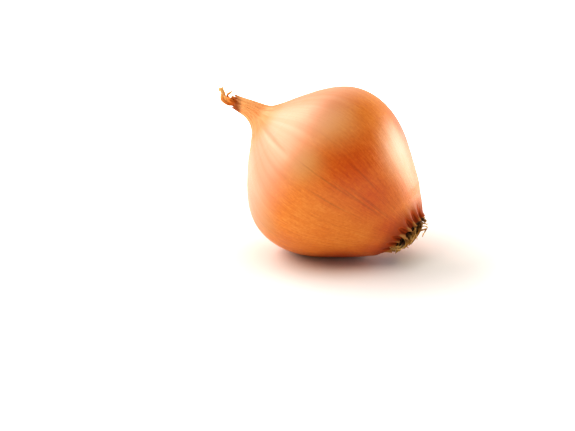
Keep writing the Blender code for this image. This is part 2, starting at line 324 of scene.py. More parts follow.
# How many cells of each skin pattern go to a millimetre: its bands are 3 mm wide, its faint lines
# 1.4 mm, its mottling 17 mm and its grain 1.25 mm. Real veins are about 0.1 mm apart, too fine to
# show, so they are drawn as coarse as they need to show, 0.7 mm. Along the onion the veins, and the
# bands and lines, have only these shares of it, which draws them out.
VEINS = 1.5 / MM
BANDS = 0.33 / MM
FAINT_LINES = 0.7 / MM
MOTTLE = 0.06 / MM
GRAIN = 0.8 / MM
VEINS_DRAWN_OUT = 0.11
BANDS_DRAWN_OUT = 0.03

# Cork grain of the root plate, in cells of 1.4 mm, and veins of a dried leaf, six to each side of
# its middle
CORK_GRAIN = 0.7 / MM
LEAF_VEINS = 6

# The table, in metres, and how far from the onion its painted glow begins and is full
TABLE_RADIUS = 1.6
TABLE_DROP = 0.02 * MM
GLOW_SPAN = (0.02, 0.22)

# Softboxes: azimuth and elevation in degrees, distance, width and height in metres, watts, colour
LIGHT_AIM = Vector((0, 0, 35)) * MM
SOFTBOXES = [
    ("left_softbox", -92, 37, 0.8, 1.1, 0.62, 8.4, "#ffffff"),
    ("front_softbox", -18, 48, 0.8, 0.34, 0.34, 0.8, "#fff2d8"),
    ("rear_right_softbox", 136, 8, 0.8, 0.62, 0.32, 5.5, "#f6f4ff"),
    ("overhead_softbox", 60, 76, 1.0, 0.9, 0.9, 4.4, "#fffaf0"),
    ("backdrop_softbox", -159, 25, 1.2, 2.0, 1.0, 6.0, "#fff2d4"),
    ("front_fill_softbox", -15, 12, 0.9, 0.7, 0.4, 1.0, "#fff2d8"),
]

# The camera: what it looks at, from where, and its lens and sensor in millimetres
CAMERA_AIM = Vector((-13.02, -10.71, 18.59)) * MM
CAMERA_FROM = (21, 18)
CAMERA_DISTANCE = 0.72
LENS = 100
SENSOR = 36


# ---------------------------------------------------------------- general helpers


def smoothstep(start, end, value):
    """0 at start and before it, 1 at end and beyond it, with a soft passage between them."""
    share = min(1.0, max(0.0, (value - start) / (end - start)))
    return share * share * (3 - 2 * share)


def hump(value, middle, reach):
    """1 at the middle, fading the same way to both sides."""
    return math.exp(-(((value - middle) / reach) ** 2))


def towards(angle, middle, sharpness):
    """1 on this side of the onion, fading to 0 a quarter turn away from it."""
    return max(0, math.cos(angle - middle)) ** sharpness


def smooth_curve(points, spacing):
    """Points on a curve through the given ones, at most spacing apart."""
    ends = [2 * points[0] - points[1], *points, 2 * points[-1] - points[-2]]
    found = []
    for before, start, end, after in zip(ends, ends[1:], ends[2:], ends[3:]):
        steps = max(1, math.ceil((end - start).length / spacing))
        for step in range(steps):
            t = step / steps
            found.append(
                0.5
                * (
                    2 * start
                    + (end - before) * t
                    + (2 * before - 5 * start + 4 * end - after) * t**2
                    + (3 * start - before - 3 * end + after) * t**3
                )
            )
    return [*found, points[-1]]


def nothing_selected():
    """Back to object mode with nothing picked, so that the next step touches only its own piece."""
    if bpy.context.mode != "OBJECT":
        bpy.ops.object.mode_set(mode="OBJECT")
    bpy.ops.object.select_all(action="DESELECT")


def named(name):
    """The active object, back in object mode, under its own name."""
    if bpy.context.mode != "OBJECT":
        bpy.ops.object.mode_set(mode="OBJECT")
    obj = bpy.context.object
    obj.name = obj.data.name = name
    return obj


def turned(name, outline, sides):
    """A closed form: its outline is drawn point by point, from axis to axis, and spun about Z."""
    nothing_selected()
    radius, height = outline[0]
    bpy.ops.mesh.primitive_plane_add(size=1 * MM, location=(radius, 0, height))
    bpy.ops.object.mode_set(mode="EDIT")
    bpy.ops.mesh.merge(type="CENTER")
    for before, after in zip(outline, outline[1:]):
        step = (after[0] - before[0], 0, after[1] - before[1])
        bpy.ops.mesh.extrude_vertices_move(TRANSFORM_OT_translate={"value": step})
    bpy.ops.mesh.select_all(action="SELECT")
    bpy.ops.mesh.spin(steps=sides, angle=TURN, center=(0, 0, 0), axis=(0, 0, 1))
    bpy.ops.mesh.select_all(action="SELECT")
    bpy.ops.mesh.remove_doubles(threshold=WELD)
    bpy.ops.mesh.normals_make_consistent(inside=False)
    bpy.ops.object.mode_set(mode="OBJECT")
    bpy.ops.object.transform_apply(location=True, rotation=True, scale=True)
    return named(name)


def joined(name, pieces):
    """One piece from several, under its own name."""
    nothing_selected()
    for piece in pieces:
        piece.select_set(True)
    bpy.context.view_layer.objects.active = pieces[0]
    if len(pieces) > 1:
        bpy.ops.object.join()
    return named(name)


def store(mesh, name, kind, values):
    """Keeps a value for each point of the mesh, for its material to read."""
    layer = mesh.attributes.new(name, kind, "POINT")
    if kind == "FLOAT_VECTOR":
        layer.data.foreach_set("vector", [c for value in values for c in value])
    else:
        layer.data.foreach_set("value", values)


# ---------------------------------------------------------------- the bulb


def pleat(angle):
    """1 on the sharp crest of a pleat and -1 in its round groove."""
    return 1 - 2 * abs(math.sin(0.5 * PLEATS * angle))


def pleated(angle):
    """The pleats as they stand out from the collar: low crests between deeper grooves."""
    height = pleat(angle)
    return 0.45 * height if height > 0 else height


def fold(angle, height):
    """1 to -1 over the softer folds of the neck, which wind a little as they climb."""
    wound = angle + FOLD_WIND * (height - FOLD_SPAN[0]) + 0.12 * math.sin(2 * angle + 1.1)
    fine, broad = FOLDS
    return 0.65 * math.cos(fine * wound) + 0.35 * math.cos(broad * wound + 1.9)


def lobe(angle, height):
    """1 to -1 over the swellings of the belly, which fade to the onion's ends."""
    belly = math.sin(math.pi * height / (MOUTH_RIM[0] * MM))
    return belly * (0.6 * math.cos(3 * angle + 0.5) + 0.4 * math.cos(5 * angle + 2.2))


def round_skin(angle, cells, height, length):
    """Noise that is drawn out along the onion: so many cells round it, each this long."""
    reach = cells / TURN
    return noise.noise(Vector((reach * math.cos(angle), reach * math.sin(angle), height / length)))


def crease(angle, height, radius):
    """The shoulder's crease, where the tight skin is drawn in: 1 along its line."""
    start, full, late, end = CREASE_SPAN
    along = smoothstep(start, full, height) * (1 - smoothstep(late, end, height))
    across = (angle - CREASE_ANGLE) * radius
    return along * hump(across, 0, CREASE_WIDTH)


def relief(angle, height, radius):
    """How far the skin stands out from its turned form. The cup and the socket stay round."""
    collar = (1 - smoothstep(0, PLEAT_FADE, height)) ** 2
    collar *= smoothstep(CUP_RADIUS - GAP, ROOT_RIM[1] * MM, radius)
    outside = smoothstep(SOCKET_RADIUS, MOUTH_RIM[1] * MM, radius)
    folded = smoothstep(*FOLD_SPAN, height) * outside
    ripple = sum(high * round_skin(angle, cells, height, long) for cells, long, high in RIPPLES)
    ripple *= min(1, radius / RIPPLE_FULL_RADIUS) ** 3
    middle, reach, drawn_depth = DRAWN_IN
    drawn_in = hump(angle, DRAWN_IN_ANGLE, DRAWN_IN_SPREAD) * hump(height, middle, reach)
    middle, reach, filled_depth = FILLED_OUT
    filled_out = towards(angle, FILLED_OUT_ANGLE, 2) * hump(height, middle, reach)
    crinkle = CRINKLE_SHARE * radius * folded * math.sin(CRINKLES * angle + CRINKLE_WIND * height)
    return (
        PLEAT_DEPTH * collar * pleated(angle)
        + FOLD_SHARE * radius * folded * fold(angle, height)
        + LOBE_DEPTH * lobe(angle, height)
        + ripple * outside
        + crinkle
        - CREASE_DEPTH * crease(angle, height, radius)
        - drawn_depth * drawn_in * outside
        + filled_depth * filled_out * outside
    )


def tooth(angle, height, radius):
    """How far the skin's torn edge reaches past the rim at the root."""
    edge = 1 - smoothstep(0, TOOTH_FADE, height)
    edge *= smoothstep(CUP_RADIUS, ROOT_RIM[1] * MM, radius)
    torn = 0.6 + 0.4 * math.sin(4 * angle + 4.2) * math.cos(7 * angle)
    torn *= 1 - 0.75 * hump(angle, DRAWN_IN_ANGLE, DRAWN_IN_SPREAD)
    ragged = 1 + 0.7 * round_skin(angle, 120, 0, 1)
    sharp = (0.5 + 0.5 * pleat(angle)) ** 1.3
    return TOOTH_REACH * edge * torn * ragged * sharp


def uneven(angle):
    """Crowds and spreads what is evenly spaced round the onion, so that no two pleats match."""
    return angle + 0.06 * math.sin(3 * angle + 0.7) + 0.04 * math.sin(5 * angle)


def groove_depth(angle, height, radius):
    """1 in the bottom of a pleat's groove, which narrows to a point up the belly."""
    which = math.floor(angle * PLEATS / TURN + 0.5)
    reach = GROOVE_REACH[0] + GROOVE_REACH[1] * noise.noise(Vector((which * 1.7, 3.1, 0)))
    share = height / reach
    edge = 0.95 - 1.9 * max(0, share) ** 1.1
    within = 1 - smoothstep(0.9, 1.0, share)
    within *= smoothstep(CUP_RADIUS, 10.8 * MM, radius)
    return within * smoothstep(edge, edge - 0.8, pleat(angle))


def groove_rib(angle):
    """1 along the thin rib in the middle of a groove."""
    return hump(math.cos(0.5 * PLEATS * angle), 0, RIB_WIDTH)


def tongue(angle):
    """How far the skin's torn end reaches past the mouth of the neck, with a flap above."""
    torn = noise.noise(Vector((2.2 * math.cos(angle), 2.2 * math.sin(angle), 1.7)))
    fine = noise.noise(Vector((5 * math.cos(angle), 5 * math.sin(angle), 4.2)))
    flap = NECK_FLAP * towards(angle, NECK_FLAP_ANGLE, 2)
    usual, more, fray = NECK_TORN
    return max(0, usual + more * torn + fray * fine + flap)


def patchy(patches, angle, height, radius):
    """1 in the middle of the nearest of these patches, fading to 0 at its reach."""
    most = 0
    for degrees, middle, reach in patches:
        turn = (angle - math.radians(degrees) + math.pi) % TURN - math.pi
        away = math.hypot(turn * radius, height - middle * MM) / (reach * MM)
        most = max(most, 1 - smoothstep(0, 1, away))
    return most


def pale_and_highlit_shoulder(angle, height):
    """How pale the skin is over the shoulder: paler all round, and most on one side, where a
    painted highlight stands for the key light's shine.
    """
    side = 0.5 + 0.5 * math.cos(angle - HIGHLIT_SIDE)
    return (PALE_AND_HIGHLIGHT_SHARE[0] + PALE_AND_HIGHLIGHT_SHARE[1] * side**0.7) * smoothstep(*PALE_AND_HIGHLIGHT_SPAN, height)


def bulb_outline():
    """From the cup's floor over the rim, the belly and the neck into the socket at its mouth."""
    skin = [Vector((radius, height)) * MM for height, radius in SKIN_MM]
    collar = smooth_curve(skin[:4], 0.4 * MM)
    belly = smooth_curve(skin[2:12], 0.8 * MM)
    neck = smooth_curve(skin[10:], 0.55 * MM)
    low, high = skin[3].y, skin[10].y
    belly = [p for p in belly if low + WELD < p.y < high - WELD]
    neck = [p for p in neck if p.y >= high - WELD]
    rim, mouth = skin[0], skin[-1]
    cup = [
        (0, CUP_FLOOR),
        (CUP_RADIUS - 0.5 * MM, CUP_FLOOR),
        (CUP_RADIUS, CUP_FLOOR - 0.5 * MM),
        (CUP_RADIUS + 0.2 * MM, 1.6 * MM),
        (rim.x - 1.1 * MM, 0.8 * MM),
        (rim.x - 0.5 * MM, 0.15 * MM),
    ]
    socket = [
        (mouth.x - 0.4 * MM, mouth.y + 0.1 * MM),
        (SOCKET_RADIUS + 0.1 * MM, mouth.y - 0.4 * MM),
        (SOCKET_RADIUS, SOCKET_FLOOR + 1 * MM),
        (SOCKET_RADIUS - GAP, SOCKET_FLOOR),
        (0, SOCKET_FLOOR),
    ]
    return [*cup, *[tuple(p) for p in [*collar, *belly, *neck]], *socket]


def slanted(point):
    """The root end's own slant, which fades up the belly."""
    share = 1 - smoothstep(0, ROOT_SLANT_FADE, point.z)
    return point - Vector((0, 0, math.tan(ROOT_SLANT) * point.x * share))


def bowed(point):
    """The neck's own bow, which leaves both its ends in place."""
    low, high = NECK_BOW_SPAN
    share = min(1, max(0, (point.z - low) / (high - low)))
    return point + Vector((NECK_BOW * math.sin(math.pi * share) ** 2, 0, 0))


def brown_end(angle, height):
    """1 where the neck's end is dried brown, which reaches further down its underside."""
    low = BROWN_FROM - BROWN_UNDERSIDE * (0.5 - 0.5 * math.cos(angle))
    low += BROWN_RAGGED * noise.noise(Vector((3 * math.cos(angle), 3 * math.sin(angle), 0)))
    return smoothstep(low + BROWN_FADE[0], low + BROWN_FADE[1], height)


def shape_skin(bulb):
    """Raises the relief on the turned form and notes where each point lies on the skin."""
    mesh = bulb.data
    along, groove, torn, tone, pale_and_highlight = [], [], [], [], []
    for vert in mesh.vertices:
        x, y, height = vert.co
        radius, angle = math.hypot(x, y), math.atan2(y, x)
        dip = groove_depth(angle, height, radius)
        rib = groove_rib(angle)
        # Painted shade in the groove, less on its rib
        groove.append(dip * (1 - RIB_LESS_SHADE * rib))
        reach = tooth(angle, height, radius)
        torn.append(smoothstep(*TORN_PALE, reach) if height < 2 * MM else 0.0)
        around = uneven(angle)
        ring = PATTERN_RADIUS * math.cos(around), PATTERN_RADIUS * math.sin(around)
        along.append((*ring, height))
        tone.append(
            (
                # The deeper patches: partly the skin's own deeper copper, partly painted shade
                patchy(DEEP_AND_SHADED_PATCHES, around, height, radius),
                patchy(OLIVE_PATCHES, around, height, radius),
                brown_end(around, height),
            )
        )
        # The shoulder's own paleness together with a painted highlight on one side
        pale_and_highlight.append(pale_and_highlit_shoulder(around, height))
        if radius > GAP:
            radius += relief(angle, height, radius)
            radius -= GROOVE_DEPTH * dip * (1 - RIB_HEIGHT * rib)
        end = smoothstep(NECK_TORN_FROM, MOUTH_RIM[0] * MM, height)
        end *= smoothstep(*NECK_TORN_RADII, radius)
        reach -= tongue(angle) * end
        radius -= NECK_TORN_CLOSING * tongue(angle) * end
        point = Vector((radius * math.cos(around), radius * math.sin(around), height - reach))
        vert.co = LAY @ bowed(slanted(point))
        vert.co.z = max(vert.co.z, 0)
    store(mesh, "along_skin", "FLOAT_VECTOR", along)
    store(mesh, "groove", "FLOAT", groove)
    store(mesh, "torn_edge", "FLOAT", torn)
    store(mesh, "skin_tone", "FLOAT_VECTOR", tone)
    store(mesh, "pale_and_highlit_shoulder", "FLOAT", pale_and_highlight)
    mesh.shade_smooth()
    mesh.update()


# ---------------------------------------------------------------- roots


def root_start(angle, share):
    """Where a root leaves the plate: share 0 is its middle and 1 its edge."""
    reach = (PLATE_RADIUS - ROOT_HALF_WIDTH[1]) * math.sqrt(share)
    return Vector((reach * math.cos(angle), reach * math.sin(angle), ROOT_SUNK - PLATE_DOME))


def outwards(angle):
    """The way a root first grows: down from the plate, and spread a little to its own side."""
    return Vector((ROOT_SPREAD * math.cos(angle), ROOT_SPREAD * math.sin(angle), -1)).normalized()


def mat_root(rng, angle, share):
    """A root that leaves the plate and then lies flat over its neighbours, most to the low side."""
    start = root_start(angle, share)
    bend = start + outwards(angle) * (ROOT_SUNK + rng.uniform(*ROOT_RISE))
    lie = rng.gauss(*MAT_LIE)
    flat = Vector((math.cos(lie), math.sin(lie), rng.uniform(*MAT_TILT))).normalized()
    length = rng.uniform(*ROOT_LENGTH)
    while length > 1 * MM and (bend + flat * length).xy.length > MAT_RADIUS:
        length *= 0.85
    return start, bend, bend + flat * length, rng.uniform(*ROOT_HALF_WIDTH)


def whisker(rng, angle):
    """A thin root that stands free of the mat."""
    start = root_start(angle, rng.uniform(0.5, 1))
    along = outwards(angle) * rng.uniform(*WHISKER_LENGTH)
    across = Vector((-math.sin(angle), math.cos(angle), 0)) * rng.uniform(-1, 1) * WHISKER_DRIFT
    return start, start + along * 0.5, start + along + across


def hook(rng, angle):
    """A root that curls back over the skin's torn edge."""
    out, up = Vector((math.cos(angle), math.sin(angle), 0)), Vector((0, 0, 1))
    start = out * (PLATE_RADIUS - 1 * MM)
    bend = out * rng.uniform(*HOOK_BEND_OUT) - up * rng.uniform(*HOOK_BEND_DOWN)
    drift = Vector((-out.y, out.x, 0)) * rng.uniform(-HOOK_DRIFT, HOOK_DRIFT)
    end = out * rng.uniform(*HOOK_END_OUT) + drift - up * rng.uniform(*HOOK_END_DOWN)
    return start, bend, end, rng.uniform(*HOOK_HALF_WIDTH)


def model_fibre():
    """One dry root before it is flattened and bent: upright, one unit long and one to each side."""
    nothing_selected()
    bpy.ops.mesh.primitive_circle_add(vertices=FIBRE_SIDES, radius=1, fill_type="NGON")
    bpy.ops.object.mode_set(mode="EDIT")
    bpy.ops.mesh.select_all(action="SELECT")
    for _ in range(FIBRE_STEPS):
        step = {"value": (0, 0, 1 / FIBRE_STEPS)}
        bpy.ops.mesh.extrude_region_move(TRANSFORM_OT_translate=step)
    bpy.ops.mesh.select_all(action="SELECT")
    bpy.ops.mesh.normals_make_consistent(inside=False)
    return named("fibre")


def bezier(start, bend, end, t):
    """A point on the smooth way from start to end, drawn aside by the bend."""
    return start * (1 - t) ** 2 + bend * 2 * t * (1 - t) + end * t**2


def pressed(place):
    """Where a root's point comes to lie in the mat, which the rim and the table hold together."""
    angle = math.atan2(place.y, place.x)
    edge = MAT_EDGE - MAT_EDGE_BELOW * smoothstep(0.5 * MM, -2 * MM, place.z)
    edge -= MAT_EDGE_ABOVE * towards(angle, 0, 4)
    edge -= MAT_EDGE_FLANK * towards(angle, MAT_FLANK_ANGLE, 4)
    crowd = min(1, edge / max(place.xy.length, 1 * MM))
    inner, outer = MAT_DEPTH
    depth = outer + (inner - outer) * smoothstep(*MAT_DEPTH_SPAN, place.x)
    depth *= 1 - MAT_THIN_SHARE * towards(angle, MAT_THIN_ANGLE, 2)
    low = -depth * math.tanh(-place.z / depth) if place.z < 0 else place.z
    return Vector((place.x * crowd, place.y * crowd, low))


def laid_fibre(fibre, rng, start, bend, end, half_width, flatness, wave, free=False):
    """A copy of the fibre, bent along its own way, twisted, waved and worn thin."""
    copy = fibre.copy()
    copy.data = fibre.data.copy()
    bpy.context.scene.collection.objects.link(copy)
    twist, turn = rng.uniform(0, math.pi), rng.uniform(-1.2, 1.2)
    phase, shade = rng.uniform(0, TURN), rng.random()
    facing = Vector((rng.uniform(-1, 1), rng.uniform(-1, 1), 0.2)).normalized()
    along = []
    for vert in copy.data.vertices:
        t = vert.co.z
        here = bezier(start, bend, end, t)
        ahead = bezier(start, bend, end, t + 0.01) - bezier(start, bend, end, t - 0.01)
        ahead.normalize()
        side = ahead.cross(facing).normalized()
        front = side.cross(ahead)
        spin = twist + turn * t
        across = side * math.cos(spin) + front * math.sin(spin)
        thick = front * math.cos(spin) - side * math.sin(spin)
        width = half_width * (1 - ROOT_TAPER * t)
        width *= 0.85 + 0.3 * noise.noise(Vector((phase, 4 * t, 0)))
        sway = across * math.sin(5 * t + phase) + thick * math.cos(4 * t + phase)
        place = here + (across * vert.co.x - thick * vert.co.y * flatness) * width
        place += sway * wave * t
        vert.co = place if free else pressed(place)
        along.append((vert.co.x, shade, t))
    store(copy.data, "along_root", "FLOAT_VECTOR", along)
    return copy


def make_roots():
    """The tuft: a mat of split roots, with whiskers, hooks, a clump and prongs laid round it."""
    rng, fine = random.Random(SEED), random.Random(SEED + 1)
    roots = [mat_root(rng, index * GOLDEN_ANGLE, (index + 0.5) / ROOTS) for index in range(ROOTS)]
    whiskers = [whisker(rng, TURN * index / WHISKERS) for index in range(WHISKERS)]
    fibre = model_fibre()
    laid = []
    for *way, half_width in roots:
        for _ in range(FIBRES_PER_ROOT):
            near, far = [[fine.gauss(0, half_width) for _ in range(3)] for _ in range(2)]
            strays = zip(way, (near, near, far), FIBRE_STRAY)
            split = [point + Vector(off) * share for point, off, share in strays]
            width = half_width * fine.uniform(*FIBRE_SHARE)
            laid.append(laid_fibre(fibre, fine, *split, width, *MAT_SHAPE))
    for way in whiskers:
        laid.append(laid_fibre(fibre, fine, *way, WHISKER_HALF_WIDTH, *WHISKER_SHAPE))
    for index in range(HOOKS):
        way = hook(fine, math.pi + HOOK_SPACING * (index - HOOKS // 2))
        laid.append(laid_fibre(fibre, fine, *way, *HOOK_SHAPE))
    for ways, free in ((CLUMP, False), (PRONGS, True)):
        for *way, half_width in ways:
            points = [Vector(point) * MM for point in way]
            laid.append(laid_fibre(fibre, fine, *points, half_width * MM, *STIFF_SHAPE, free))
    bpy.data.objects.remove(fibre)
    tuft = joined("root_tuft", laid)
    for vert in tuft.data.vertices:
        vert.co = LAY @ slanted(vert.co)
    tuft.data.shade_smooth()
    return tuft


def make_root_plate():
    """The dry stem that the roots grow from: a domed disc, rough with the bases of lost roots."""
    quarter = [math.radians(angle) for angle in range(0, 91, 6)]
    dome = [(PLATE_RADIUS * math.sin(a), -PLATE_DOME * math.cos(a)) for a in quarter]
    top = CUP_FLOOR - GAP
    plate = turned("root_plate", [*dome, (PLATE_RADIUS, top), (0, top)], 72)
    for vert in plate.data.vertices:
        knob = noise.noise(vert.co / PLATE_KNOB) if vert.co.z < 0.2 * MM else 0
        point = vert.co - Vector((0, 0, PLATE_KNOB_DEPTH * knob))
        vert.co = LAY @ slanted(point)
    plate.data.shade_smooth()
    return plate


# ---------------------------------------------------------------- dried leaves


def leaf_strip(name, points, facing, curl, crumple, seed):
    """A withered leaf end: a crumpled strip along its own way, curled in at its edges."""
    rows = [Vector(point) * MM for point in points]
    way = smooth_curve(rows, LEAF_STEP)
    nothing_selected()
    bpy.ops.mesh.primitive_grid_add(
        x_subdivisions=LEAF_COLUMNS, y_subdivisions=len(way) - 1, size=2
    )
    strip = named(name)
    across = Vector((math.cos(facing), math.sin(facing), 0))
    along = []
    for vert in strip.data.vertices:
        u = vert.co.x
        t = (vert.co.y + 1) / 2
        index = min(len(way) - 1, max(0, round(t * (len(way) - 1))))
        here, width = Vector(way[index][:3]), way[index][3]
        low, high = max(0, index - 1), min(len(way) - 1, index + 1)
        ahead = (Vector(way[high][:3]) - Vector(way[low][:3])).normalized()
        side = (across - ahead * across.dot(ahead)).normalized()
        front = ahead.cross(side)
        bend = curl * u
        x = width * math.sin(bend) / max(curl, 0.1)
        y = width * (1 - math.cos(bend)) / max(curl, 0.1)
        rough = noise.noise(Vector((2.2 * u, t * 9, seed)))
        fine = noise.noise(Vector((6 * u, t * 5, seed + 7)))
        x += width * 0.25 * rough
        y += crumple * (rough + 0.6 * fine)
        end = smoothstep(0.92, 1, t) * noise.noise(Vector((4 * u, 0, seed + 3)))
        vert.co = here + side * x + front * y + ahead * end * LEAF_RAGGED_END
        along.append((u, seed * 0.37 % 1, t))
    store(strip.data, "along_leaf", "FLOAT_VECTOR", along)
    wall = strip.modifiers.new("thickness", "SOLIDIFY")
    wall.thickness = LEAF_WALL
    wall.offset = 0
    nothing_selected()
    strip.select_set(True)
    bpy.context.view_layer.objects.active = strip
    bpy.ops.object.modifier_apply(modifier=wall.name)
    return strip


def make_leaves():
    """The leaf bases squeezed together in the neck's mouth, and the strips that come out of it."""
    strips = [leaf_strip(*leaf) for leaf in LEAVES]
    foot = SOCKET_FLOOR + GAP
    outline = [(0, foot), (1.5 * MM, foot), *[(r * MM, height * MM) for r, height in BUNDLE_MM]]
    bundle = turned("leaf_bundle", outline, 72)
    along = []
    for vert in bundle.data.vertices:
        x, y, height = vert.co
        angle, radius = math.atan2(y, x), math.hypot(x, y)
        if radius > 0.1 * MM and height > BUNDLE_RIBS_FROM:
            radius += BUNDLE_RIB * math.cos(BUNDLE_RIBS * angle + BUNDLE_WIND * height)
        vert.co = bowed(Vector((radius * math.cos(angle), radius * math.sin(angle), height)))
        # Brown all over, as the foot of a strip is
        along.append((math.cos(angle), 0.2, 0.05))
    store(bundle.data, "along_leaf", "FLOAT_VECTOR", along)
    leaves = joined("dried_leaf_ends", [bundle, *strips])
    for vert in leaves.data.vertices:
        vert.co = LAY @ vert.co
    leaves.data.shade_smooth()
    return leaves


# ---------------------------------------------------------------- materials


def linear(hex_colour):
    """An sRGB hex colour as the linear values that a shader takes."""
    values = [int(hex_colour[i : i + 2], 16) / 255 for i in (1, 3, 5)]
    return (*[v / 12.92 if v < 0.04045 else ((v + 0.055) / 1.055) ** 2.4 for v in values], 1)


def add(tree, kind, inputs=None, stops=None, **settings):
    """Adds a node with its settings, values, links and, on a ramp, its stops."""
    node = tree.nodes.new(kind)
    for name, value in settings.items():
        setattr(node, name, value)
    for key, value in (inputs or {}).items():
        if isinstance(value, bpy.types.NodeSocket):
            tree.links.new(value, node.inputs[key])
        else:
            node.inputs[key].default_value = value
    for index, (place, colour) in enumerate(stops or []):
        ramp = node.color_ramp.elements
        element = ramp[index] if index < 2 else ramp.new(place)
        element.position = place
        element.color = linear(colour)
    return node


def new_material(name):
    """An empty material under its own name, and its node tree."""
    material = bpy.data.materials.new(name)
    material.use_nodes = True
    tree = material.node_tree
    tree.nodes.clear()
    return material, tree


def dried_onion_skin():
    """The onion's outer dry scale, thin as paper over wet flesh, cured and rubbed smooth.

    It gives the eye a copper colour that is deeper in patches, partly with painted shade, and paler
    over the shoulder, partly with a painted highlight; painted shade in the collar's grooves and
    round the collar; fine veins from pole to pole, and broad satin highlights that the veins break
    up.
    """
    material, tree = new_material("dried_onion_skin")
    place = add(tree, "ShaderNodeAttribute", attribute_name="along_skin").outputs["Vector"]
    where = add(tree, "ShaderNodeTexCoord").outputs["Object"]
    drawn, long_drawn = [
        add(tree, "ShaderNodeMapping", {"Vector": place, "Scale": (1, 1, share)}).outputs[0]
        for share in (VEINS_DRAWN_OUT, BANDS_DRAWN_OUT)
    ]
    veins, bands, faint, mottle, grain = [
        add(
            tree,
            "ShaderNodeTexNoise",
            {"Vector": vector, "Scale": scale, "Detail": detail, "Roughness": rough},
        ).outputs[0]
        for vector, scale, detail, rough in (
            (drawn, VEINS, 3, 0.65),
            (long_drawn, BANDS, 2, 0.5),
            (long_drawn, FAINT_LINES, 0, 0.5),
            (where, MOTTLE, 3, 0.5),
            (where, GRAIN, 2, 0.6),
        )
    ]
    groove, torn, pale_and_highlit_mask = [
        add(tree, "ShaderNodeAttribute", attribute_name=name).outputs["Fac"]
        for name in ("groove", "torn_edge", "pale_and_highlit_shoulder")
    ]
    patch = add(tree, "ShaderNodeAttribute", attribute_name="skin_tone").outputs["Vector"]
    patch = add(tree, "ShaderNodeSeparateXYZ", {"Vector": patch})
    deeper_and_shaded, olive, brown = [patch.outputs[axis] for axis in "XYZ"]
    olive = add(tree, "ShaderNodeMath", {0: olive, 1: 0.9}, operation="MULTIPLY").outputs[0]
    height = add(tree, "ShaderNodeSeparateXYZ", {"Vector": place}).outputs["Z"]
    # The neck's own colour, and the collar's painted shade
    neck, collar = [
        add(
            tree,
            "ShaderNodeMapRange",
            {"Value": height, "From Min": start, "From Max": end, "To Max": most},
            interpolation_type="SMOOTHSTEP",
        ).outputs[0]
        for start, end, most in (NECK_COLOUR, COLLAR_SHADE)
    ]

    # All the patterns together give the shades of copper and the fine relief
    tone = -0.4
    for pattern, share in ((veins, 0.8), (bands, 0.2), (grain, 0.5), (mottle, 0.3)):
        inputs = {0: pattern, 1: share, 2: tone}
        tone = add(tree, "ShaderNodeMath", inputs, operation="MULTIPLY_ADD").outputs[0]
    low, high = NECK_PALING
    inputs = {"Value": height, "From Min": low, "From Max": high, "To Min": -0.15, "To Max": 0.25}
    upper = add(tree, "ShaderNodeMapRange", inputs).outputs[0]
    inputs = {0: veins, 1: 0.9, 2: upper}
    upper = add(tree, "ShaderNodeMath", inputs, operation="MULTIPLY_ADD").outputs[0]
    # The pale ramp is the shoulder's own paleness together with a painted highlight
    copper, deep_copper_and_shade, pale_and_highlight, necked, shadow = [
        add(tree, "ShaderNodeValToRGB", {"Fac": value}, stops=stops).outputs[0]
        for value, stops in (
            (tone, [(0.2, "#d26e10"), (0.5, "#e08424"), (0.8, "#ec9e44")]),
            (tone, [(0.2, "#bc4a00"), (0.5, "#cc5800"), (0.8, "#d86c04")]),
            (bands, [(0.35, "#dc9c7e"), (0.65, "#e0a68a")]),
            (upper, [(0.2, "#d67e38"), (0.9, "#f6c07c")]),
            (groove, [(0.1, "#c45600"), (0.5, "#b84c00"), (1.0, "#903800")]),
        )
    ]

    # Faint darker lines, which come and go with the mottling
    broken = add(
        tree,
        "ShaderNodeMapRange",
        {"Value": mottle, "From Min": 0.42, "From Max": 0.58, "To Min": 0.06, "To Max": 0.3},
    ).outputs[0]
    line = add(
        tree,
        "ShaderNodeMapRange",
        {"Value": faint, "From Min": 0.66, "From Max": 0.78, "To Max": broken},
    ).outputs[0]
    groove_shade = add(tree, "ShaderNodeMapRange", {"Value": groove, "From Max": 0.3}).outputs[0]

    # Each colour covers this share of those before it
    colour = copper
    for share, over in (
        # Deeper copper, partly painted shade
        (deeper_and_shaded, deep_copper_and_shade),
        (olive, linear("#d29a5c")),
        (line, linear("#8a3c08")),
        # Painted highlight over the shoulder, with its own paleness
        (pale_and_highlit_mask, pale_and_highlight),
        (neck, necked),
        # Painted shade round the collar
        (collar, linear("#a03e00")),
        (brown, linear("#a04c00")),
        # Painted shade in the pleats' grooves
        (groove_shade, shadow),
        (torn, linear("#b98444")),
    ):
        inputs = {0: share, 6: colour, 7: over}
        colour = add(tree, "ShaderNodeMix", inputs, data_type="RGBA").outputs[2]

    # Satin over the belly, duller in the grooves, at the brown end and on the collar
    rough = add(
        tree,
        "ShaderNodeMapRange",
        {"Value": veins, "From Min": 0.3, "From Max": 0.7, "To Min": 0.33, "To Max": 0.45},
    ).outputs[0]
    for mask, more in ((groove, 0.5), (brown, 0.25), (collar, 0.3)):
        inputs = {0: mask, 1: more, 2: rough}
        rough = add(tree, "ShaderNodeMath", inputs, operation="MULTIPLY_ADD").outputs[0]
    bump = add(tree, "ShaderNodeBump", {"Height": tone, "Strength": 0.5, "Distance": 0.25 * MM})
    shader = add(
        tree,
        "ShaderNodeBsdfPrincipled",
        {
            "Base Color": colour,
            "Roughness": rough,
            "Normal": bump.outputs[0],
            "IOR": 1.68,
            "Specular Tint": linear("#ffe4ca"),
        },
    )
    add(tree, "ShaderNodeOutputMaterial", {"Surface": shader.outputs[0]})
    return material


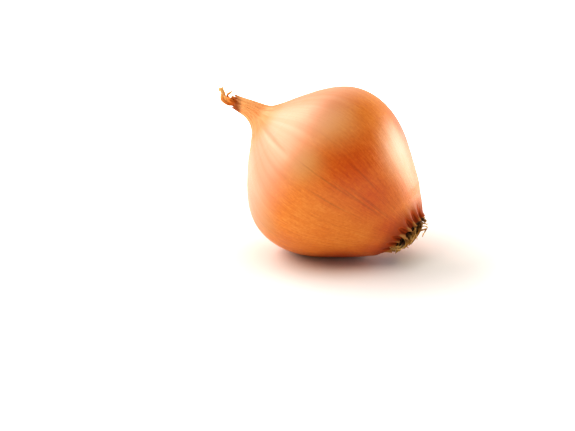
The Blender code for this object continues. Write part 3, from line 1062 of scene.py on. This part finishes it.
def dried_root_fibre():
    """Dead roots, dried hard and flat: each its own shade from tan to straw, darkened with painted
    shade near the plate where they crowd, with no shine."""
    material, tree = new_material("dried_root_fibre")
    place = add(tree, "ShaderNodeAttribute", attribute_name="along_root").outputs["Vector"]
    split = add(tree, "ShaderNodeSeparateXYZ", {"Vector": place})
    shade = add(
        tree,
        "ShaderNodeValToRGB",
        {"Fac": split.outputs["Y"]},
        stops=[(0.0, "#a8782c"), (0.5, "#cc9c4c"), (1.0, "#ecc880")],
    ).outputs[0]
    # Painted shade near the plate, where the roots crowd
    near = add(
        tree,
        "ShaderNodeMapRange",
        {"Value": split.outputs["Z"], "From Min": 0.15, "From Max": 0.55},
    ).outputs[0]
    inputs = {0: near, 6: linear("#5a3410"), 7: shade}
    colour = add(tree, "ShaderNodeMix", inputs, data_type="RGBA").outputs[2]
    shader = add(
        tree, "ShaderNodeBsdfPrincipled", {"Base Color": colour, "Roughness": 0.75, "IOR": 1.45}
    )
    add(tree, "ShaderNodeOutputMaterial", {"Surface": shader.outputs[0]})
    return material


def root_plate_cork():
    """The stem's dry underside, left corky and rough where roots broke off: dark brown and dull
    between the roots."""
    material, tree = new_material("root_plate_cork")
    where = add(tree, "ShaderNodeTexCoord").outputs["Object"]
    inputs = {"Vector": where, "Scale": CORK_GRAIN, "Detail": 3}
    grain = add(tree, "ShaderNodeTexNoise", inputs).outputs[0]
    colour = add(
        tree, "ShaderNodeValToRGB", {"Fac": grain}, stops=[(0.35, "#3a1c08"), (0.65, "#6e4418")]
    ).outputs[0]
    bump = add(tree, "ShaderNodeBump", {"Height": grain, "Strength": 0.6, "Distance": 0.3 * MM})
    shader = add(
        tree,
        "ShaderNodeBsdfPrincipled",
        {"Base Color": colour, "Roughness": 0.9, "Normal": bump.outputs[0], "IOR": 1.3},
    )
    add(tree, "ShaderNodeOutputMaterial", {"Surface": shader.outputs[0]})
    return material


def withered_leaf():
    """Leaf ends dried to paper: brown where they are cinched and straw at their tips, streaked
    with darker veins along them, and matt."""
    material, tree = new_material("withered_leaf")
    place = add(tree, "ShaderNodeAttribute", attribute_name="along_leaf").outputs["Vector"]
    split = add(tree, "ShaderNodeSeparateXYZ", {"Vector": place})
    colour = add(
        tree,
        "ShaderNodeValToRGB",
        {"Fac": split.outputs["Z"]},
        stops=[(0.1, "#c26408"), (0.3, "#cc7418"), (0.5, "#f0a050"), (0.9, "#fcca84")],
    ).outputs[0]
    drawn = add(tree, "ShaderNodeMapping", {"Vector": place, "Scale": (1, 1, 0.3)}).outputs[0]
    inputs = {"Vector": drawn, "Scale": LEAF_VEINS, "Detail": 3}
    veins = add(tree, "ShaderNodeTexNoise", inputs).outputs[0]
    inputs = {"Value": veins, "From Min": 0.35, "From Max": 0.6, "To Min": 0.72}
    streaks = add(tree, "ShaderNodeMapRange", inputs).outputs[0]
    colour = add(
        tree,
        "ShaderNodeMix",
        {0: 1.0, 6: colour, 7: streaks},
        data_type="RGBA",
        blend_type="MULTIPLY",
    ).outputs[2]
    bump = add(tree, "ShaderNodeBump", {"Height": veins, "Strength": 0.5, "Distance": 0.2 * MM})
    shader = add(
        tree,
        "ShaderNodeBsdfPrincipled",
        {"Base Color": colour, "Roughness": 0.7, "Normal": bump.outputs[0], "IOR": 1.35},
    )
    add(tree, "ShaderNodeOutputMaterial", {"Surface": shader.outputs[0]})
    return material


def matt_white_card():
    """Uncoated white card, under the onion: no shine, and a soft contact shadow. It glows with
    painted light, more the further it is from the onion, so that it stays white beyond the shadow."""
    material, tree = new_material("matt_white_card")
    where = add(tree, "ShaderNodeTexCoord").outputs["Object"]
    away = add(tree, "ShaderNodeVectorMath", {0: where}, operation="LENGTH").outputs["Value"]
    near, far = GLOW_SPAN
    glow = add(
        tree,
        "ShaderNodeMapRange",
        {"Value": away, "From Min": near, "From Max": far, "To Max": 0.7},
        interpolation_type="SMOOTHSTEP",
    ).outputs[0]
    shader = add(
        tree,
        "ShaderNodeBsdfPrincipled",
        {
            "Base Color": linear("#f0f0f0"),
            "Roughness": 0.9,
            "Emission Color": linear("#ffffff"),
            "Emission Strength": glow,
        },
    )
    add(tree, "ShaderNodeOutputMaterial", {"Surface": shader.outputs[0]})
    return material


# ---------------------------------------------------------------- studio


def direction(azimuth, elevation):
    """Unit vector from the onion towards azimuth (0 is -Y, 90 is +X) and elevation."""
    a, e = math.radians(azimuth), math.radians(elevation)
    return Vector((math.sin(a) * math.cos(e), -math.cos(a) * math.cos(e), math.sin(e)))


def softbox(name, azimuth, elevation, distance, width, height, power, colour):
    """A soft rectangular lamp that faces the onion, itself unseen."""
    nothing_selected()
    away = direction(azimuth, elevation)
    bpy.ops.object.light_add(type="AREA", location=LIGHT_AIM + away * distance)
    lamp = bpy.context.object
    lamp.name = lamp.data.name = name
    lamp.rotation_euler = away.to_track_quat("Z", "Y").to_euler()
    lamp.data.shape = "RECTANGLE"
    lamp.data.size, lamp.data.size_y = width, height
    lamp.data.energy = power
    lamp.data.color = linear(colour)[:3]
    lamp.visible_camera = False


def make_studio():
    """The white table, the softboxes, and a white surround that lights only a little."""
    nothing_selected()
    bpy.ops.mesh.primitive_circle_add(
        vertices=128, radius=TABLE_RADIUS, fill_type="NGON", location=(0, 0, -TABLE_DROP)
    )
    table = named("table")
    bpy.ops.object.transform_apply(location=True)
    table.data.materials.append(matt_white_card())
    for lamp in SOFTBOXES:
        softbox(*lamp)
    world = bpy.data.worlds.new("white_studio")
    bpy.context.scene.world = world
    world.use_nodes = True
    tree = world.node_tree
    tree.nodes.clear()
    seen = add(tree, "ShaderNodeLightPath").outputs["Is Camera Ray"]
    inputs = {"Value": seen, "To Min": 0.2, "To Max": 1.0}
    strength = add(tree, "ShaderNodeMapRange", inputs).outputs[0]
    back = add(tree, "ShaderNodeBackground", {"Color": linear("#ffffff"), "Strength": strength})
    add(tree, "ShaderNodeOutputWorld", {"Surface": back.outputs[0]})


def make_camera():
    """A long lens, a little above the onion and turned towards its root end."""
    nothing_selected()
    away = direction(*CAMERA_FROM)
    bpy.ops.object.camera_add(location=CAMERA_AIM + away * CAMERA_DISTANCE)
    camera = bpy.context.object
    camera.rotation_euler = away.to_track_quat("Z", "Y").to_euler()
    camera.data.lens = LENS
    camera.data.sensor_width = SENSOR
    camera.data.clip_start, camera.data.clip_end = 0.01, 20
    bpy.context.scene.camera = camera


def main():
    """Sets up the studio, models the four pieces, gives each its material, hangs it from the root
    body and hides the imported solid of its node.
    """
    make_camera()
    make_studio()
    bpy.context.scene.view_settings.view_transform = "Standard"
    bpy.context.scene.view_settings.gamma = 0.8
    bpy.context.scene.view_settings.exposure = 0.0
    bulb = turned("onion_skin", bulb_outline(), SIDES)
    shape_skin(bulb)
    tuft = make_roots()
    plate = make_root_plate()
    leaves = make_leaves()
    finishes = (
        (bulb, "bulb", "papery_skin", dried_onion_skin()),
        (tuft, "roots", "dried_root", dried_root_fibre()),
        (plate, "roots", "dried_root", root_plate_cork()),
        (leaves, "dried_leaves", "dried_leaf", withered_leaf()),
    )
    for piece, node, slot, material in finishes:
        piece.data.materials.clear()
        piece.data.materials.append(material)
        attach(piece, "root")
        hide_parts(node)


main()
